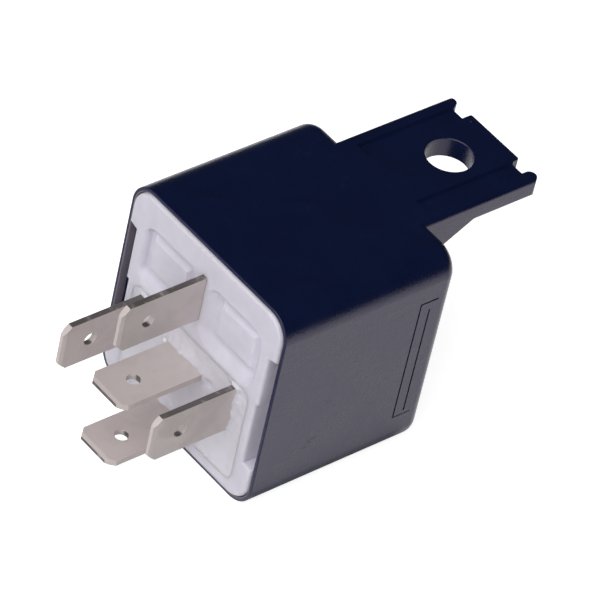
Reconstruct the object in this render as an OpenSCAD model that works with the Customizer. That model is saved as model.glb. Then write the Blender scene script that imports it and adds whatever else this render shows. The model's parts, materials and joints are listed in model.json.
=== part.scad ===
// Automotive plug-in changeover relay with five blade terminals and a moulded bracket.
// Millimetres. The part lies on its side: Y runs from the terminal face (y = 0) into
// the housing, +Z is the bracket side and X is across. The origin is the centre of
// the terminal face.

/* [Housing] */
// Width of the housing, across the two coil terminals
body_w = 28; // [27:0.5:32]
// Height of the housing, from the resting side to the bracket side
body_h = 29; // [28:0.5:33]
// Depth of the housing, from the terminal face to the closed end
body_d = 25.5; // [24.5:0.5:30]
// Wall of the cover's four sides
cover_wall = 0.9; // [0.7:0.1:1.1]
// Wall of the cover's closed end
end_wall = 1.2; // [0.9:0.1:1.8]
// Radius of the four long edges of the cover
long_edge_r = 3.4; // [2:0.1:4]
// Radius of the edges round the closed end
end_edge_r = 1.6; // [0.8:0.1:2]
// How far the cover's rim sits behind the terminal face
rim_setback = 0.3; // [0:0.1:0.8]
// Thickness of the cover's rim, outside the rebate that takes the base's front edge
rim_lip = 0.55; // [0.4:0.05:0.65]
// Depth of the rebate inside the cover's rim
rebate_l = 1.2; // [0.8:0.1:1.6]

/* [Side frame lines] */
// Depth of the moulded frame lines in the two side walls
line_depth = 0.25; // [0.1:0.05:0.4]
// Width of the moulded frame lines
line_w = 0.3; // [0.2:0.05:0.5]
// Height of the frame that the lines draw
frame_h = 17.8; // [12:0.2:20]
// Distance from the closed end to the frame's front line
frame_setback = 4.9; // [3.8:0.1:8]
// Distance between the frame's front line and its inner line
frame_step = 1.5; // [1:0.1:2]

/* [Bracket tab] */
// Width of the bracket tab
tab_w = 16.2; // [14:0.2:20]
// Length of the bracket tab beyond the closed end
tab_l = 16.7; // [14:0.1:22]
// Thickness of the tab at its two rails
tab_t = 2.7; // [2:0.1:3.5]
// Width of each side rail of the tab
rail_w = 1.65; // [1.2:0.05:2]
// Width of the two end notches, and of the grooves that run from them
notch_w = 2.1; // [1.4:0.1:2.4]
// Length of the two end notches
notch_l = 1.1; // [0.6:0.1:2]
// Depth of the grooves beside the rails, above and below
groove_depth = 0.35; // [0.2:0.05:0.7]
// Diameter of the fixing hole
tab_hole_d = 5.8; // [4.2:0.1:6.4]
// Distance from the closed end to the middle of the fixing hole
tab_hole_y = 9.7; // [7:0.1:11]
// Length of the gussets under the rails
gusset_l = 6.7; // [3:0.1:8]
// Height of the gussets at the closed end
gusset_h = 3.8; // [2:0.1:6]

/* [Base] */
// Thickness of the base plate
base_t = 3.2; // [2.6:0.1:3.8]
// Gap between the base and the cover all round
base_gap = 0.05; // [0.02:0.01:0.12]
// Corner radius of the base
base_corner_r = 3; // [1.5:0.1:3.2]
// Depth of the two moulded pockets
pocket_depth = 0.9; // [0.4:0.1:1.4]
// Width of each pocket
pocket_w = 8.2; // [6:0.1:8.6]
// Height of each pocket
pocket_h = 7; // [5:0.1:8]
// Border of the base above the pockets
pocket_border = 3.35; // [2:0.05:4.2]
// Width of the web between the two pockets
web_w = 4.2; // [3.4:0.1:6]
// Border of the pocket round its raised pad
pad_border_x = 1.3; // [1:0.05:2.4]
// Border of the pocket above and below its raised pad
pad_border_z = 1.2; // [0.8:0.05:2]
// Height of the raised pad above the pocket floor
pad_h = 0.5; // [0.2:0.1:0.8]
// Depth of the sealing well round the terminals
well_depth = 1; // [0.6:0.1:1.5]
// Width of the sealing well
well_w = 21.2; // [19.4:0.2:22]
// Land between the pockets and the sealing well
land_h = 2; // [1:0.1:2.4]
// Border of the base below the sealing well
well_border = 1.3; // [0.8:0.1:1.8]
// Depth of the slots in the base's two side edges
side_slot_d = 0.85; // [0.5:0.05:1.2]
// Extra depth of the lower part of the side slots
side_slot_step = 0.35; // [0.1:0.05:0.5]
// Length of the side slots, from the terminal face inwards
side_slot_l = 2.4; // [2:0.1:2.6]
// Level of the upper end of the side slots, from the centre
side_slot_top = 7.9; // [5:0.1:9.5]
// Level of the lower end of the side slots, from the centre
side_slot_low = -8.2; // [-10:0.1:-5]
// Diameter of the vent hole in the base
vent_d = 1.2; // [0.8:0.1:1.5]

/* [Terminals] */
// Width of the terminal blades
blade_w = 6.3; // [5.8:0.1:6.6]
// Thickness of the terminal blades
blade_t = 0.8; // [0.6:0.05:0.9]
// Length of the blades beyond the terminal face
blade_l = 11.8; // [9:0.1:14]
// Chamfer of the blade's tip corners, along the width
tip_chamfer = 0.95; // [0.5:0.05:1.5]
// Bevel of the blade's tip on each broad face
tip_bevel = 0.16; // [0.1:0.02:0.28]
// Diameter of the detent hole in each blade
detent_d = 1.7; // [1.2:0.1:2.2]
// Distance from the blade's tip to the middle of its detent hole
detent_y = 4.1; // [3:0.1:5]
// Distance between the two coil terminals
coil_pitch = 16.8; // [16:0.1:17.6]
// Level of the coil terminals, from the centre
row_coil = -2.2; // [-3:0.1:-1.6]
// Level of the common terminal, from the centre
row_common = 7.5; // [7:0.1:8]
// Level of the break (normally closed) terminal, from the centre
row_break = -2.1; // [-2.6:0.1:-1.6]
// Level of the make (normally open) terminal, from the centre
row_make = -10.8; // [-11.2:0.1:-10.2]
// Gap between a blade and its slot in the base
slot_gap = 0.05; // [0.02:0.01:0.1]
// Width of the soldering posts inside, on the coil terminals
post_w = 1.6; // [1.2:0.1:2.4]
// Length of the soldering posts above the base
post_l = 7.4; // [5:0.1:9]

/* [Magnet] */
// Height of the seats that carry the yoke above the base
seat_h = 1.8; // [1.6:0.1:2.4]
// Thickness of the yoke
yoke_t = 1.6; // [1.2:0.1:1.8]
// Width of the yoke
yoke_w = 14; // [11:0.2:15]
// Space between the yoke and the cover's bracket-side wall
yoke_margin = 1.6; // [1.4:0.1:2]
// Radius of the iron core
core_r = 3.2; // [2.4:0.1:3.5]
// Radius of the core's pole head
pole_r = 4.6; // [3.8:0.1:5]
// Thickness of the core's pole head
pole_t = 1.2; // [0.8:0.1:1.6]
// Wall of the bobbin's tube
bobbin_wall = 0.6; // [0.4:0.1:0.9]
// Thickness of the bobbin's flanges
flange_t = 0.8; // [0.5:0.1:1.1]
// Radius of the bobbin's flanges
flange_r = 7.8; // [7.4:0.1:7.9]
// How far the winding stays below the rim of the flanges
winding_drop = 0.6; // [0.3:0.1:1.5]
// Gap between the bobbin's flanges and the yoke
coil_gap = 1.4; // [1.2:0.1:1.6]
// Gap between the core and the bobbin
core_gap = 0.08; // [0.04:0.01:0.15]
// Diameter of the winding's lead wires
lead_d = 0.4; // [0.25:0.05:0.6]

/* [Armature and contacts] */
// Angle that the armature opens from the pole
open_angle = 2.2; // [1.6:0.1:2.8]
// Thickness of the armature
armature_t = 1.3; // [1:0.1:1.5]
// Width of the armature
armature_w = 13; // [10:0.2:14]
// Gap left between the pulled-in armature and the pole
pole_gap = 0.05; // [0.03:0.01:0.1]
// Running gap at the hinge edge
hinge_gap = 0.04; // [0.02:0.01:0.08]
// Thickness of the contact spring
spring_t = 0.25; // [0.15:0.01:0.35]
// Width of the contact spring over the armature
spring_w = 8.8; // [7:0.1:10]
// Width of the contact spring at the contact
spring_tip_w = 3.8; // [3.4:0.1:4.6]
// Radius of the contacts
contact_r = 1.5; // [1.1:0.1:1.6]
// Height of the contact heads
contact_h = 0.85; // [0.6:0.05:0.95]
// Crown of the moving contact's two heads
contact_crown = 0.15; // [0.1:0.01:0.2]
// Gap left at a closed contact
contact_gap = 0.03; // [0.02:0.01:0.06]
// Distance from the make terminal's plane to the middle of the contacts
contact_reach = 1.6; // [1.5:0.1:1.8]
// Space between the break terminal's arm and the cover's closed end
end_clearance = 0.8; // [0.4:0.1:1.2]
// Radius of the rivet shanks
rivet_r = 0.8; // [0.6:0.05:0.9]
// Radius of the rivet heads
rivet_head_r = 1.3; // [1:0.05:1.5]
// Height of the rivet heads
rivet_head_h = 0.5; // [0.3:0.05:0.6]
// Gap between a rivet and its hole
rivet_gap = 0.02; // [0.01:0.01:0.04]

/* [Hidden] */
$fn = 64;
eps = 0.01;       // overlap of two shapes that are joined into one solid
over = 1;         // length by which a cutter passes the face that it cuts
bend_r = 0.4;     // inner radius of the folds in the terminals' sheet

// Housing and base
half_w = body_w / 2;
half_h = body_h / 2;
cavity_y = body_d - end_wall;
base_hw = half_w - cover_wall - base_gap;
base_hh = half_h - cover_wall - base_gap;
face_hw = half_w - rim_lip - base_gap;
face_hh = half_h - rim_lip - base_gap;
flange_y = rim_setback + rebate_l - base_gap;
pocket_top = base_hh - pocket_border;
pocket_low = pocket_top - pocket_h;
well_top = pocket_low - land_h;
well_low = -base_hh + well_border;
resin_y = 0.35;   // level of the sealing resin below the terminal face
collar = 0.9;     // width of the resin collars round the blades
resin_gap = 0.02; // gap round the resin, so that it shares no volume
well_r = 1.2;     // corner radius of the sealing well
slot_drop = 7;    // length of the upper part of the side slots
slot_bevel = 0.4; // bevel at the upper end of the side slots
seat_hw = 1;      // half width of the seats under the yoke
seat_inset = 1.2; // distance of a seat's middle from the yoke's side
seat_rise = 2;    // reach of the seats above the common terminal's middle
vent_margin = 0.95; // distance of the vent hole's middle from the middle blade's edge
vent_drop = 0.5;  // and from that blade's level
vent_x = -blade_w / 2 - vent_margin;
vent_z = row_break - vent_drop;

// Terminals
coil_x = coil_pitch / 2;
post_y = base_t + post_l;
shoulder_y = base_t + 1;

// Magnet stack, from the base inwards
seat_y = base_t + seat_h;
foot_y = seat_y + yoke_t;
hinge_z = half_h - cover_wall - yoke_margin;
leg_z = hinge_z - yoke_t;
coil_z = leg_z - coil_gap - flange_r;
yoke_bend_r = 0.6;
foot_margin = 3.2; // border of the yoke's foot below the core
foot_low = coil_z - core_r - foot_margin;
neck_step = 0.8;  // step from the core's shank to its riveted neck

// Contact stack, from the closed end towards the pole
contact_z = row_make + contact_reach;
lever = hinge_z - contact_z;
head_top = armature_t + spring_t + contact_h;
arm_y = cavity_y - end_clearance - blade_t;
break_face_y = arm_y - contact_h;
pivot_y = break_face_y - contact_gap - head_top * cos(open_angle) - lever * sin(open_angle);
pole_y = pivot_y - pole_gap;
yoke_top = pivot_y - hinge_gap;
moving_low_y = pivot_y + armature_t - contact_h;
make_face_y = moving_low_y - contact_gap;
make_arm_y = make_face_y - contact_h - blade_t;
bobbin_top = pole_y - pole_t;
winding_r = flange_r - winding_drop;
armature_lip = 1.2; // reach of the armature below the pole
armature_low = coil_z - pole_r - armature_lip;
tip_margin = 0.6; // border of the spring and of the arms beyond the contacts
spring_low = contact_z - contact_r - tip_margin;
heel_r = 0.6;
leg_rivet_x = 2.8;
arm_rivet_x = 2.6;
rivet_rise = 1.1; // distance of the armature's rivets above the pole
arm_rivet_z = coil_z + pole_r + rivet_rise;
clamp_back = 2.1; // distance of the spring's clamped leg from the hinge edge
clamp_y = yoke_top - clamp_back;
clamp_l = 6.4;
leg_rivet_y = clamp_y - clamp_l / 2;
flange_inset = 2.6; // distance of the common terminal's flange from the yoke's side
flange_x = yoke_w / 2 - flange_inset;
terminal_rivet_x = flange_x / 2 + blade_t / 2;

// Place of the break terminal's riser, beside the make terminal
riser_gap = 1.45; // clear space between the make terminal's blade and the riser
riser_x = blade_w / 2 + riser_gap;
riser_w = 4;
run_gap = 0.4;    // clear space under the break terminal's run across the base
run_y = base_t + run_gap;

// ---- helpers: extrude an outline along one axis ----

// Outline in X and Z, drawn from y0 to y1
module along_y(y0, y1) {
    translate([0, y1, 0]) rotate([90, 0, 0]) linear_extrude(y1 - y0) children();
}

// Outline in Y and Z, drawn from x0 to x1
module along_x(x0, x1) {
    translate([x0, 0, 0]) rotate([90, 0, 90]) linear_extrude(x1 - x0) children();
}

// Outline in X and Y, drawn from z0 to z1
module along_z(z0, z1) {
    translate([0, 0, z0]) linear_extrude(z1 - z0) children();
}

// Rectangle from two corners
module rect(x0, y0, x1, y1) {
    translate([x0, y0]) square([x1 - x0, y1 - y0]);
}

// Rectangle from two corners, with all its corners rounded
module round_rect(x0, y0, x1, y1, r) {
    rect(x0 + r, y0, x1 - r, y1);
    rect(x0, y0 + r, x1, y1 - r);
    for (x = [x0 + r, x1 - r], y = [y0 + r, y1 - r])
        translate([x, y]) circle(r);
}

// Quarter ring about the origin, in the quadrant that sx and sy give
module quarter_ring(r, t, sx, sy) {
    intersection() {
        difference() {
            circle(r + t);
            circle(r);
        }
        rect(min(0, sx * 2 * (r + t)), min(0, sy * 2 * (r + t)),
             max(0, sx * 2 * (r + t)), max(0, sy * 2 * (r + t)));
    }
}

// Round bar along Y, about the axis at x and z
module bar_y(x, z, r, y0, y1) {
    translate([x, y0, z]) rotate([-90, 0, 0]) cylinder(r = r, h = y1 - y0);
}

// Round bar along Z, about the axis at x and y
module bar_z(x, y, r, z0, z1) {
    translate([x, y, z0]) cylinder(r = r, h = z1 - z0);
}

// Places its children on the opened armature
module opened() {
    translate([0, pivot_y, hinge_z]) rotate([open_angle, 0, 0])
        translate([0, -pivot_y, -hinge_z]) children();
}

// ---- housing ----

// Outer block of the cover, with its long edges and the edges of its closed end rounded
module cover_block() {
    intersection() {
        along_y(rim_setback, body_d) round_rect(-half_w, -half_h, half_w, half_h, long_edge_r);
        along_x(-half_w, half_w)
            round_rect(-body_d, -half_h, body_d, half_h, end_edge_r);
        along_z(-half_h, half_h)
            round_rect(-half_w, -body_d, half_w, body_d, end_edge_r);
    }
}

// Tab outline seen from the bracket side, with its two end notches and rounded rail tips
module tab_outline() {
    tab_x = tab_w / 2;
    end_y = body_d + tab_l;
    tip_r = rail_w / 2;
    difference() {
        union() {
            rect(-tab_x, body_d - end_edge_r - end_wall, tab_x, end_y - notch_l);
            rect(-tab_x + rail_w + notch_w, body_d, tab_x - rail_w - notch_w, end_y);
            for (side = [-1, 1]) translate([side * (tab_x - tip_r), 0]) {
                rect(-tip_r, body_d, tip_r, end_y - tip_r);
                translate([0, end_y - tip_r]) circle(tip_r);
            }
        }
        translate([0, body_d + tab_hole_y]) circle(d = tab_hole_d);
    }
}

// Bracket tab: a plate between two rails, with grooves beside the rails and a gusset
// under each rail
module bracket_tab() {
    tab_x = tab_w / 2;
    root_y = body_d - end_wall / 2;
    difference() {
        along_z(half_h - tab_t, half_h) tab_outline();
        for (side = [-1, 1], z = [half_h, half_h - tab_t])
            translate([side * (tab_x - rail_w - notch_w / 2), body_d + over, z])
                translate([-notch_w / 2, 0, -groove_depth])
                    cube([notch_w, tab_l, 2 * groove_depth]);
    }
    for (side = [-1, 1])
        along_x(side * (tab_x - rail_w / 2) - rail_w / 2, side * (tab_x - rail_w / 2) + rail_w / 2)
            polygon([[root_y, half_h - tab_t + eps], [body_d + gusset_l, half_h - tab_t + eps],
                     [body_d + gusset_l, half_h - tab_t],
                     [body_d, half_h - tab_t - gusset_h], [root_y, half_h - tab_t - gusset_h]]);
}

// Moulded frame lines in one side wall, as a cutter
module frame_lines() {
    y0 = body_d - frame_setback;
    y1 = body_d - end_edge_r - 0.6;
    top = frame_h / 2;
    translate([0, y0, -top]) cube([line_depth, line_w, frame_h]);
    translate([0, y0 + frame_step, -top]) cube([line_depth, line_w, frame_h - frame_step]);
    for (z = [-top, top - line_w])
        translate([0, y0, z]) cube([line_depth, y1 - y0, line_w]);
}

module cover() {
    inner_r = long_edge_r - cover_wall;
    color([0.09, 0.09, 0.13]) difference() {
        union() {
            cover_block();
            bracket_tab();
        }
        along_y(rim_setback - over, cavity_y)
            round_rect(-half_w + cover_wall, -half_h + cover_wall,
                       half_w - cover_wall, half_h - cover_wall, inner_r);
        along_y(rim_setback - over, rim_setback + rebate_l)
            round_rect(-half_w + rim_lip, -half_h + rim_lip,
                       half_w - rim_lip, half_h - rim_lip, long_edge_r - rim_lip);
        translate([half_w - line_depth, 0, 0]) frame_lines();
        translate([-half_w, 0, 0]) frame_lines();
    }
}

// ---- base ----

// Cross section of every blade where it passes the base, grown by g
module blade_sections(g) {
    long = blade_w / 2 + g;
    thin = blade_t / 2 + g;
    rect(-thin, row_common - long, thin, row_common + long);
    for (x = [-coil_x, coil_x])
        rect(x - thin, row_coil - long, x + thin, row_coil + long);
    for (z = [row_break, row_make])
        rect(-long, z - thin, long, z + thin);
}

// Outline of the sealing well
module well_outline(g) {
    round_rect(-well_w / 2 + g, well_low + g, well_w / 2 - g, well_top - g, well_r);
}

// Outline of one moulded pocket
module pocket_outline(x0) {
    round_rect(x0, pocket_low, x0 + pocket_w, pocket_top, 0.7);
}

// Side slot, as a cutter at the +X edge, with a bevelled upper end and a deeper lower part
module side_slot() {
    step_z = side_slot_top - slot_drop;
    inner = base_hw - side_slot_d;
    along_y(-over, side_slot_l)
        polygon([[face_hw + over, side_slot_top + slot_bevel], [face_hw, side_slot_top + slot_bevel],
                 [inner, side_slot_top], [inner, step_z],
                 [inner - side_slot_step, step_z], [inner - side_slot_step, side_slot_low],
                 [face_hw + over, side_slot_low]]);
}

module base() {
    color([0.74, 0.73, 0.78]) difference() {
        union() {
            difference() {
                union() {
                    along_y(0, base_t)
                        round_rect(-base_hw, -base_hh, base_hw, base_hh, base_corner_r);
                    along_y(0, flange_y)
                        round_rect(-face_hw, -face_hh, face_hw, face_hh, base_corner_r);
                }
                for (x0 = [web_w / 2, -web_w / 2 - pocket_w])
                    along_y(-over, pocket_depth) pocket_outline(x0);
                along_y(-over, well_depth) well_outline(0);
                side_slot();
                mirror([1, 0, 0]) side_slot();
            }
            for (side = [-1, 1])
                along_y(pocket_depth - pad_h, pocket_depth + eps)
                    translate([side * (web_w + pocket_w) / 2, 0])
                        round_rect(-pocket_w / 2 + pad_border_x, pocket_low + pad_border_z,
                                   pocket_w / 2 - pad_border_x, pocket_top - pad_border_z, 0.4);
            for (side = [-1, 1])
                along_y(base_t - eps, seat_y)
                    translate([side * (yoke_w / 2 - seat_inset), 0])
                        rect(-seat_hw, coil_z, seat_hw, row_common + seat_rise);
        }
        along_y(-over, base_t + over) blade_sections(slot_gap);
        bar_y(vent_x, vent_z, vent_d / 2, -over, base_t + over);
    }
}

module sealing_resin() {
    color([0.80, 0.79, 0.80]) difference() {
        union() {
            along_y(resin_y, well_depth - resin_gap) well_outline(resin_gap);
            along_y(0, resin_y + eps) intersection() {
                well_outline(resin_gap);
                blade_sections(collar / 2);
            }
        }
        along_y(-over, well_depth + over) blade_sections(resin_gap);
        bar_y(vent_x, vent_z, vent_d / 2 + resin_gap, -over, well_depth + over);
    }
}

// Small plug that closes the vent hole, with a rounded head
module vent_plug() {
    r = vent_d / 2 - resin_gap;
    color([0.93, 0.93, 0.93]) translate([vent_x, 0, vent_z]) rotate([-90, 0, 0])
        rotate_extrude() {
            intersection() {
                translate([0, r]) circle(r);
                rect(0, 0, r, r);
            }
            rect(0, r - eps, r, base_t);
        }
}

// ---- terminals ----

// Blade with its width along X, its thickness along Z and its tip at -Y
module blade(y_end) {
    long = blade_w / 2;
    thin = blade_t / 2;
    tip = -blade_l;
    bevel_l = 3 * tip_bevel;
    difference() {
        intersection() {
            along_z(-thin, thin)
                polygon([[-long + tip_chamfer, tip], [long - tip_chamfer, tip],
                         [long, tip + tip_chamfer * 1.1], [long, y_end],
                         [-long, y_end], [-long, tip + tip_chamfer * 1.1]]);
            along_x(-long, long)
                polygon([[tip, -thin + tip_bevel], [tip + bevel_l, -thin], [y_end, -thin],
                         [y_end, thin], [tip + bevel_l, thin], [tip, thin - tip_bevel]]);
        }
        bar_z(0, tip + detent_y, detent_d / 2, -thin - over, thin + over);
    }
}

// Common terminal: its blade folds to a flange that is riveted under the yoke's foot
module terminal_30() {
    thin = blade_t / 2;
    fold_y = seat_y - blade_t - bend_r;
    long = blade_w / 2;
    color([0.72, 0.69, 0.66]) difference() {
        union() {
            translate([0, 0, row_common]) rotate([0, 90, 0]) blade(fold_y + eps);
            along_z(row_common - long, row_common + long) {
                translate([thin + bend_r, fold_y]) quarter_ring(bend_r, blade_t, -1, 1);
                rect(thin + bend_r - eps, seat_y - blade_t, flange_x, seat_y);
            }
        }
        bar_y(terminal_rivet_x, row_common, rivet_r + rivet_gap, 0, foot_y);
    }
}

// Coil terminal: its blade carries on as a narrow soldering post
module coil_terminal(side) {
    color([0.72, 0.69, 0.66]) translate([side * coil_x, 0, row_coil]) rotate([0, 90, 0]) {
        blade(shoulder_y);
        along_z(-blade_t / 2, blade_t / 2) rect(-post_w / 2, shoulder_y - eps, post_w / 2, post_y);
    }
}

module terminal_85() { coil_terminal(1); }

module terminal_86() { coil_terminal(-1); }

// Make terminal: its blade rises beside the coil and folds over to carry the make contact
module terminal_87() {
    thin = blade_t / 2;
    fold_z = row_make + thin + bend_r;
    fold_y = make_arm_y - bend_r;
    arm_w = spring_tip_w + tip_margin;
    color([0.72, 0.69, 0.66]) {
        translate([0, 0, row_make]) blade(shoulder_y);
        along_x(-arm_w / 2, arm_w / 2) {
            rect(shoulder_y - eps, row_make - thin, fold_y + eps, row_make + thin);
            translate([fold_y, fold_z]) quarter_ring(bend_r, blade_t, 1, -1);
            rect(make_arm_y, fold_z - eps, make_arm_y + blade_t, contact_z + contact_r + 0.4);
        }
    }
}

// Break terminal: its blade folds under the coil, rises beside the make terminal and
// folds over the moving contact
module terminal_87a() {
    thin = blade_t / 2;
    low = row_break - thin;
    plane = row_make - thin;
    top_r = 0.6;
    color([0.72, 0.69, 0.66]) {
        translate([0, 0, row_break]) blade(base_t + eps);
        // fold from the blade to the run across the base
        along_x(-blade_w / 2, blade_w / 2)
            translate([run_y - bend_r, low - bend_r]) {
                quarter_ring(bend_r, blade_t, 1, 1);
                rect(bend_r - run_gap - eps, bend_r, eps, bend_r + blade_t);
            }
        // run across the base, to the foot of the riser
        along_y(run_y, run_y + blade_t)
            polygon([[-blade_w / 2, low - bend_r + eps], [blade_w / 2, low - bend_r + eps],
                     [coil_x - 1.6, row_coil - blade_w / 2 + 0.6],
                     [riser_x + riser_w, row_coil - blade_w / 2 - 0.8],
                     [riser_x + riser_w, plane + blade_t + bend_r - eps],
                     [riser_x, plane + blade_t + bend_r - eps],
                     [riser_x, plane + blade_t + 2], [-blade_w / 2, low - bend_r - 3]]);
        along_x(riser_x, riser_x + riser_w) {
            translate([run_y + blade_t + bend_r, plane + blade_t + bend_r])
                quarter_ring(bend_r, blade_t, -1, -1);
            rect(run_y + blade_t + bend_r - eps, plane, arm_y - bend_r + eps, plane + blade_t);
            translate([arm_y - bend_r, plane + blade_t + bend_r])
                quarter_ring(bend_r, blade_t, 1, -1);
        }
        // arm over the moving contact
        along_y(arm_y, arm_y + blade_t)
            round_rect(-contact_r - 0.7, plane + blade_t + bend_r - eps,
                       riser_x + riser_w, contact_z + contact_r + 0.7, top_r);
    }
}

// ---- magnet ----

module yoke() {
    outer_r = yoke_bend_r + yoke_t;
    color([0.62, 0.62, 0.60]) difference() {
        along_x(-yoke_w / 2, yoke_w / 2) {
            rect(seat_y, foot_low, foot_y, hinge_z - outer_r + eps);
            translate([seat_y + outer_r, hinge_z - outer_r]) quarter_ring(yoke_bend_r, yoke_t, -1, 1);
            rect(seat_y + outer_r - eps, leg_z, yoke_top, hinge_z);
        }
        bar_y(0, coil_z, core_r - neck_step, seat_y - over, foot_y + over);
        bar_y(terminal_rivet_x, row_common, rivet_r + rivet_gap, seat_y - over, foot_y + over);
        for (x = [-leg_rivet_x, leg_rivet_x])
            bar_z(x, leg_rivet_y, rivet_r + rivet_gap, leg_z - over, hinge_z + over);
    }
}

// Iron core: tail riveted under the yoke's foot, round shank and pole head
module core() {
    neck_r = core_r - neck_step - rivet_gap;
    color([0.66, 0.66, 0.65]) {
        bar_y(0, coil_z, core_r - 0.3, seat_y - 0.5, seat_y);
        bar_y(0, coil_z, neck_r, seat_y - eps, foot_y + eps);
        bar_y(0, coil_z, core_r, foot_y, bobbin_top + eps);
        bar_y(0, coil_z, pole_r, bobbin_top, pole_y);
    }
}

module bobbin() {
    tube_r = core_r + core_gap + bobbin_wall;
    color([0.86, 0.84, 0.78]) difference() {
        union() {
            bar_y(0, coil_z, tube_r, foot_y, bobbin_top);
            bar_y(0, coil_z, flange_r, foot_y, foot_y + flange_t);
            bar_y(0, coil_z, flange_r, bobbin_top - flange_t, bobbin_top);
        }
        bar_y(0, coil_z, core_r + core_gap, foot_y - over, bobbin_top + over);
    }
}

module winding() {
    tube_r = core_r + core_gap + bobbin_wall;
    color([0.72, 0.38, 0.20]) difference() {
        bar_y(0, coil_z, winding_r, foot_y + flange_t, bobbin_top - flange_t);
        bar_y(0, coil_z, tube_r, foot_y, bobbin_top);
    }
}

// Lead wire from the winding to the soldering post on one side
module coil_lead(side) {
    drop = coil_z - row_coil - lead_d / 2;
    from_x = sqrt(winding_r * winding_r - drop * drop);
    reach = coil_x - blade_t / 2 - from_x;
    color([0.75, 0.42, 0.22]) translate([side * from_x, foot_y + flange_t + lead_d, row_coil])
        rotate([0, side * 90, 0]) cylinder(d = lead_d, h = reach);
}

module coil_lead_85() { coil_lead(1); }

module coil_lead_86() { coil_lead(-1); }

// Solder round the end of each lead, on the outer side of its post
module solder_joints() {
    y = foot_y + flange_t + lead_d;
    color([0.78, 0.78, 0.80]) for (side = [-1, 1])
        difference() {
            translate([side * coil_x, y, row_coil]) sphere(d = post_w);
            translate([side * coil_x - blade_t / 2, y - post_w, row_coil - post_w])
                cube([blade_t, 2 * post_w, 2 * post_w]);
            translate([0, y, row_coil]) rotate([0, 90, 0])
                cylinder(d = lead_d, h = 2 * coil_x, center = true);
        }
}

// ---- armature and contacts ----

module armature() {
    y0 = pivot_y;
    y1 = pivot_y + armature_t;
    color([0.64, 0.64, 0.62]) opened() difference() {
        intersection() {
            along_x(-armature_w / 2, armature_w / 2) {
                rect(y0, armature_low, y1 - heel_r, hinge_z);
                rect(y0, armature_low, y1, hinge_z - heel_r);
                translate([y1 - heel_r, hinge_z - heel_r]) circle(heel_r);
            }
            along_y(y0 - over, y1 + over)
                round_rect(-armature_w / 2, armature_low, armature_w / 2, hinge_z + over, 1);
        }
        for (x = [-arm_rivet_x, arm_rivet_x])
            bar_y(x, arm_rivet_z, rivet_r + rivet_gap, y0 - over, y1 + over);
    }
}

// Point of the closed armature's frame, in Y and Z, turned to the opened position
function opened_at(y, z) =
    [pivot_y + (y - pivot_y) * cos(open_angle) - (z - hinge_z) * sin(open_angle),
     hinge_z + (y - pivot_y) * sin(open_angle) + (z - hinge_z) * cos(open_angle)];

// Cubic curve through four control points, and its direction
function curve(p, t) =
    pow(1 - t, 3) * p[0] + 3 * t * pow(1 - t, 2) * p[1] + 3 * t * t * (1 - t) * p[2] + pow(t, 3) * p[3];
function curve_dir(p, t) =
    pow(1 - t, 2) * (p[1] - p[0]) + 2 * t * (1 - t) * (p[2] - p[1]) + t * t * (p[3] - p[2]);
function unit_normal(v) = [-v[1], v[0]] / norm(v);

// Leaf spring: a clamped leg on the yoke, a bend over the armature's heel, and the
// leaf that carries the moving contact
module contact_spring() {
    mid_z = hinge_z + spring_t / 2;
    leaf_y = pivot_y + armature_t;
    mid_y = leaf_y + spring_t / 2;
    bend_z = hinge_z - heel_r + 0.2;
    bend_reach = 2.4;
    p = [[clamp_y, mid_z], [clamp_y + bend_reach, mid_z],
         opened_at(mid_y, hinge_z + bend_reach), opened_at(mid_y, bend_z)];
    steps = [for (i = [0 : 12]) i / 12];
    band = concat([for (t = steps) curve(p, t) + unit_normal(curve_dir(p, t)) * spring_t / 2],
                  [for (i = [12 : -1 : 0])
                      curve(p, i / 12) - unit_normal(curve_dir(p, i / 12)) * spring_t / 2]);
    color([0.78, 0.60, 0.32]) difference() {
        union() {
            along_x(-spring_w / 2, spring_w / 2) {
                rect(clamp_y - clamp_l, hinge_z, clamp_y + eps, hinge_z + spring_t);
                polygon(band);
            }
            opened() along_y(leaf_y, leaf_y + spring_t)
                polygon([[-spring_w / 2, bend_z + eps], [spring_w / 2, bend_z + eps],
                         [spring_w / 2, armature_low + 3.5], [spring_tip_w / 2, armature_low - 1],
                         [spring_tip_w / 2, spring_low + 0.6], [spring_tip_w / 2 - 0.6, spring_low],
                         [-spring_tip_w / 2 + 0.6, spring_low], [-spring_tip_w / 2, spring_low + 0.6],
                         [-spring_tip_w / 2, armature_low - 1], [-spring_w / 2, armature_low + 3.5]]);
        }
        for (x = [-leg_rivet_x, leg_rivet_x])
            bar_z(x, leg_rivet_y, rivet_r + rivet_gap, hinge_z - over, hinge_z + over);
        opened() {
            for (x = [-arm_rivet_x, arm_rivet_x])
                bar_y(x, arm_rivet_z, rivet_r + rivet_gap, leaf_y - over, leaf_y + over);
            bar_y(0, contact_z, contact_r / 2 + rivet_gap, leaf_y - over, leaf_y + over);
        }
    }
}

// Head of the moving contact, crowned towards +Y, with its flat side at y = 0
module crowned_head() {
    crown_r = (contact_r * contact_r + contact_crown * contact_crown) / (2 * contact_crown);
    intersection() {
        rotate([-90, 0, 0]) cylinder(r = contact_r, h = contact_h);
        translate([0, contact_h - crown_r, 0]) rotate([-90, 0, 0]) sphere(crown_r);
    }
}

module moving_contact() {
    leaf_y = pivot_y + armature_t;
    color([0.82, 0.81, 0.78]) opened() translate([0, 0, contact_z]) {
        translate([0, leaf_y + spring_t, 0]) crowned_head();
        translate([0, leaf_y, 0]) mirror([0, 1, 0]) crowned_head();
        bar_y(0, 0, contact_r / 2, leaf_y - eps, leaf_y + spring_t + eps);
    }
}

module make_contact() {
    color([0.82, 0.81, 0.78])
        bar_y(0, contact_z, contact_r, make_arm_y + blade_t, make_face_y);
}

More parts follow.
